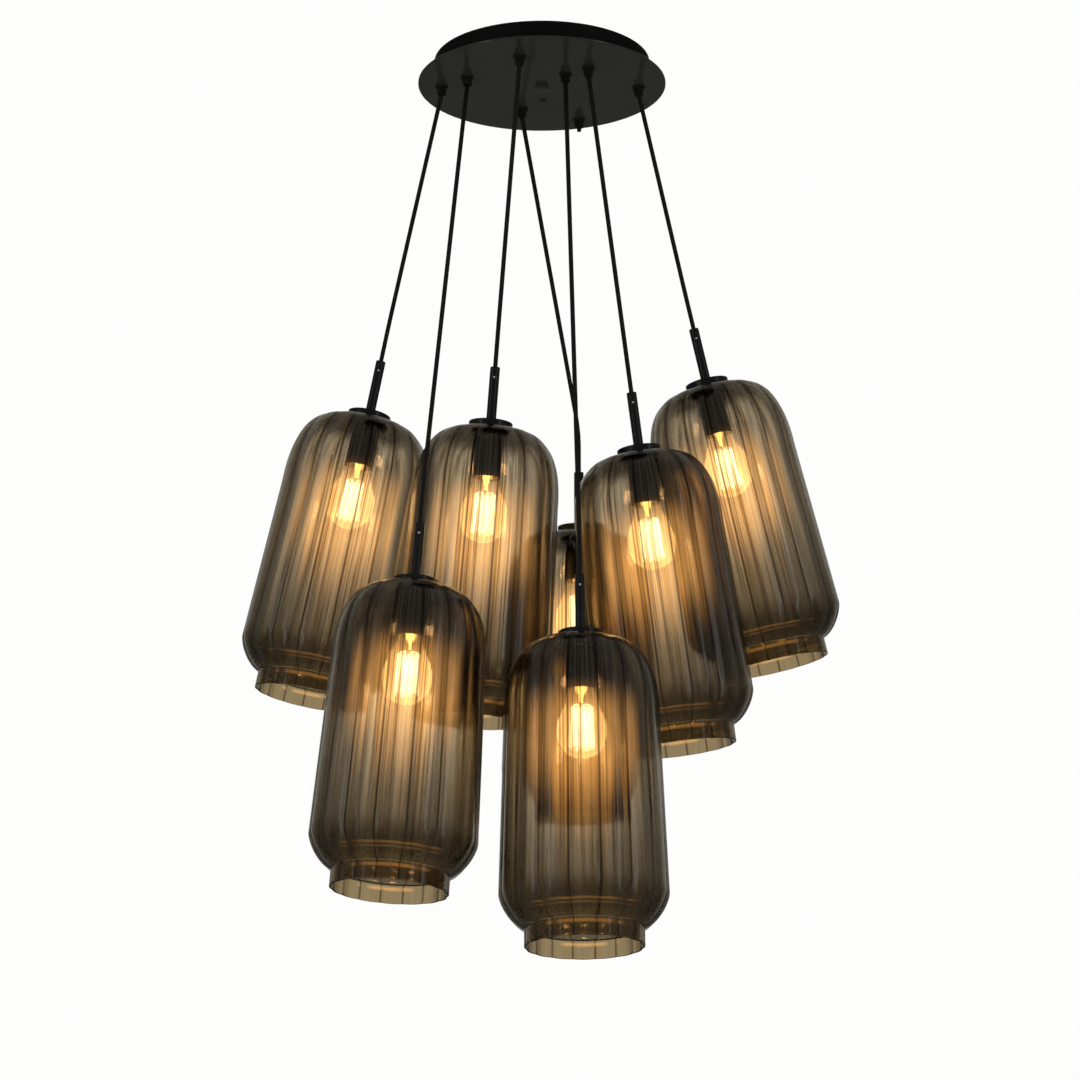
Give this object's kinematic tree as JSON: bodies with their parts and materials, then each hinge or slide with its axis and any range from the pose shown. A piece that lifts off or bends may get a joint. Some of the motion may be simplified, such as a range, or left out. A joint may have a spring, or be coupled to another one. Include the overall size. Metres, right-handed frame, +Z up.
{
  "type": "cluster pendant light",
  "caption": "Ceiling cluster pendant: fluted smoky glass shades with filament bulbs hang on straight cords from one round black canopy.",
  "frame": {"origin": "on the ceiling, at the middle of the canopy and of its crossbar", "axes": "+Z up into the ceiling, -Y to the front, +X to the right seen from the front"},
  "size_m": [0.8239, 0.6201, 1.3002],
  "materials": {
    "black_metal": "satin black powder coat",
    "zinc_steel": "zinc plated",
    "black_plastic": "black moulded plastic",
    "white_plastic": "white moulded plastic",
    "cord_black": "round black cable sheath",
    "smoke_glass": "smoky grey brown pressed glass, glossy",
    "bulb_glass": "clear amber bulb glass"
  },
  "bodies": {
    "root": {"canopy_plate": "black_metal", "canopy_dish": "black_metal", "dish_nuts": "zinc_steel", "ceiling_crossbar": "zinc_steel", "centre_stud": "zinc_steel", "centre_cap_nut": "black_metal", "earth_screw": "black_metal", "terminal_block": "white_plastic", "cord_grips": "black_plastic", "grip_nuts": "zinc_steel", "cord_tails": "cord_black"},
    "left_pendant": {"left_cord": "cord_black", "left_stem": "black_metal", "left_cap": "black_metal", "left_socket": "black_plastic", "left_shade_ring": "black_plastic", "left_shade": "smoke_glass"},
    "left_bulb_body": {"left_bulb": "bulb_glass"},
    "front_left_pendant": {"front_left_cord": "cord_black", "front_left_stem": "black_metal", "front_left_cap": "black_metal", "front_left_socket": "black_plastic", "front_left_shade_ring": "black_plastic", "front_left_shade": "smoke_glass"},
    "front_left_bulb_body": {"front_left_bulb": "bulb_glass"},
    "middle_left_pendant": {"middle_left_cord": "cord_black", "middle_left_stem": "black_metal", "middle_left_cap": "black_metal", "middle_left_socket": "black_plastic", "middle_left_shade_ring": "black_plastic", "middle_left_shade": "smoke_glass"},
    "middle_left_bulb_body": {"middle_left_bulb": "bulb_glass"},
    "front_pendant": {"front_cord": "cord_black", "front_stem": "black_metal", "front_cap": "black_metal", "front_socket": "black_plastic", "front_shade_ring": "black_plastic", "front_shade": "smoke_glass"},
    "front_bulb_body": {"front_bulb": "bulb_glass"},
    "middle_right_pendant": {"middle_right_cord": "cord_black", "middle_right_stem": "black_metal", "middle_right_cap": "black_metal", "middle_right_socket": "black_plastic", "middle_right_shade_ring": "black_plastic", "middle_right_shade": "smoke_glass"},
    "middle_right_bulb_body": {"middle_right_bulb": "bulb_glass"},
    "right_pendant": {"right_cord": "cord_black", "right_stem": "black_metal", "right_cap": "black_metal", "right_socket": "black_plastic", "right_shade_ring": "black_plastic", "right_shade": "smoke_glass"},
    "right_bulb_body": {"right_bulb": "bulb_glass"},
    "rear_pendant": {"rear_cord": "cord_black", "rear_stem": "black_metal", "rear_cap": "black_metal", "rear_socket": "black_plastic", "rear_shade_ring": "black_plastic", "rear_shade": "smoke_glass"},
    "rear_bulb_body": {"rear_bulb": "bulb_glass"}
  },
  "joints": [
    {"name": "left_swing", "type": "hinge", "parent": "root", "child": "left_pendant", "pos_m": [-0.142, 0.005, -0.0445], "axis": [0.2588, 0.9659, 0], "range_deg": [0, 15]},
    {"name": "front_left_swing", "type": "hinge", "parent": "root", "child": "front_left_pendant", "pos_m": [-0.105, -0.03, -0.0445], "axis": [-0.9272, 0.3746, 0], "range_deg": [0, 15]},
    {"name": "middle_left_swing", "type": "hinge", "parent": "root", "child": "middle_left_pendant", "pos_m": [-0.031, -0.107, -0.0445], "axis": [0.8192, 0.5736, 0], "range_deg": [0, 1.3]},
    {"name": "front_swing", "type": "hinge", "parent": "root", "child": "front_pendant", "pos_m": [0.033, -0.043, -0.0445], "axis": [-1, 0, 0], "range_deg": [0, 15]},
    {"name": "middle_right_swing", "type": "hinge", "parent": "root", "child": "middle_right_pendant", "pos_m": [0.065, -0.065, -0.0445], "axis": [-0.5, -0.866, 0], "range_deg": [0, 1.8]},
    {"name": "right_swing", "type": "hinge", "parent": "root", "child": "right_pendant", "pos_m": [0.137, 0.007, -0.0445], "axis": [0.5, -0.866, 0], "range_deg": [0, 15]},
    {"name": "rear_swing", "type": "hinge", "parent": "root", "child": "rear_pendant", "pos_m": [-0.029, 0.089, -0.0445], "axis": [0.9848, -0.1736, 0], "range_deg": [0, 15]},
    {"name": "left_bulb_turn", "type": "hinge", "parent": "left_pendant", "child": "left_bulb_body", "pos_m": [-0.25462, 0.06306, -0.57123], "axis": [-0.1908, 0.0137, -0.9815], "range_deg": [0, 360]},
    {"name": "front_left_bulb_turn", "type": "hinge", "parent": "front_left_pendant", "child": "front_left_bulb_body", "pos_m": [-0.16945, -0.22987, -0.88337], "axis": [-0.0696, -0.0592, -0.9958], "range_deg": [0, 360]},
    {"name": "middle_left_bulb_turn", "type": "hinge", "parent": "middle_left_pendant", "child": "middle_left_bulb_body", "pos_m": [-0.07497, -0.04639, -0.61835], "axis": [-0.0731, 0.0574, -0.9957], "range_deg": [0, 360]},
    {"name": "front_bulb_turn", "type": "hinge", "parent": "front_pendant", "child": "front_bulb_body", "pos_m": [0.05031, -0.24172, -0.95561], "axis": [0.0087, -0.0715, -0.9974], "range_deg": [0, 360]},
    {"name": "middle_right_bulb_turn", "type": "hinge", "parent": "middle_right_pendant", "child": "middle_right_bulb_body", "pos_m": [0.13978, -0.08873, -0.66664], "axis": [0.1252, 0.0485, -0.9909], "range_deg": [0, 360]},
    {"name": "right_bulb_turn", "type": "hinge", "parent": "right_pendant", "child": "right_bulb_body", "pos_m": [0.2459, 0.05921, -0.52599], "axis": [0.2193, 0.0681, -0.9733], "range_deg": [0, 360]},
    {"name": "rear_bulb_turn", "type": "hinge", "parent": "rear_pendant", "child": "rear_bulb_body", "pos_m": [0.052, 0.12837, -0.71877], "axis": [0, 0.0558, -0.9984], "range_deg": [0, 360]}
  ]
}
